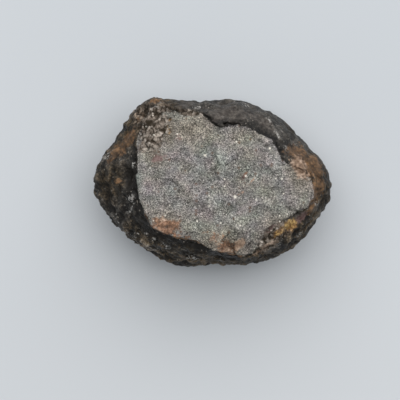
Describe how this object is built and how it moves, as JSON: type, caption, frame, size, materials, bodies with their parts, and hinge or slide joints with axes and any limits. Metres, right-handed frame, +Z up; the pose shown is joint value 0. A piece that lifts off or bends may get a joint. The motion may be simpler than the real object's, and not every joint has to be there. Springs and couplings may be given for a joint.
{
  "type": "chondrite meteorite",
  "caption": "Palm-sized stony meteorite with a dark thumbprinted fusion crust, broken open on top to a flat grey grainy inside.",
  "frame": {"origin": "on the surface that the stone rests on, under the middle of the stone's box", "axes": "+X along the stone's length, +Y across it, +Z up out of the broken face"},
  "size_m": [0.0674, 0.0478, 0.0321],
  "materials": {
    "chondrite_stone": "dark fused crust, with a grainy grey broken face on top and rust stains"
  },
  "bodies": {
    "root": {"meteorite_stone": "chondrite_stone"}
  },
  "joints": []
}
